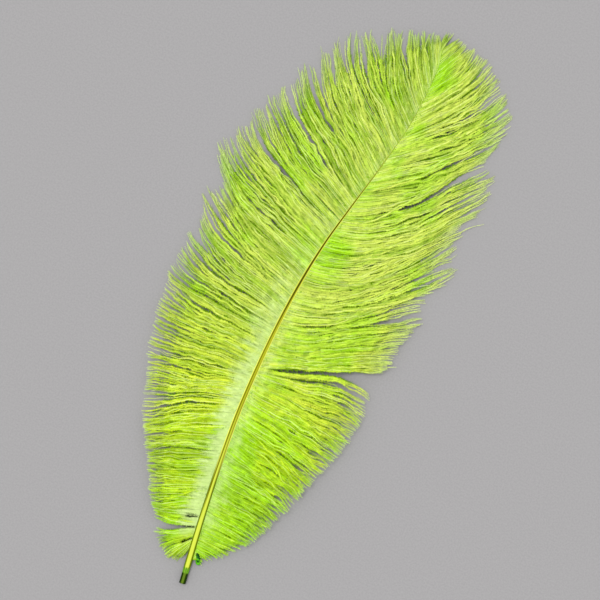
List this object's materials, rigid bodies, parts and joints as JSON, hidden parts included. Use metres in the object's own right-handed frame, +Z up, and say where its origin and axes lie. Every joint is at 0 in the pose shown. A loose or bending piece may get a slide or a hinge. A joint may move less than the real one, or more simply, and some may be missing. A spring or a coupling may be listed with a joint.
{
  "type": "ostrich feather",
  "caption": "Dyed lime green ostrich plume lying flat: an arched horny shaft with soft curling locks of barbs along both sides.",
  "frame": {"origin": "on the surface that the feather lies on, under the middle of its outline", "axes": "+Y along the feather from the cut quill to the tip, +X across it to the side with the deep notch, +Z up from the surface"},
  "size_m": [0.1694, 0.3843, 0.0143],
  "materials": {
    "vane": "matte"
  },
  "bodies": {
    "root": {"feather": "vane"}
  },
  "joints": []
}
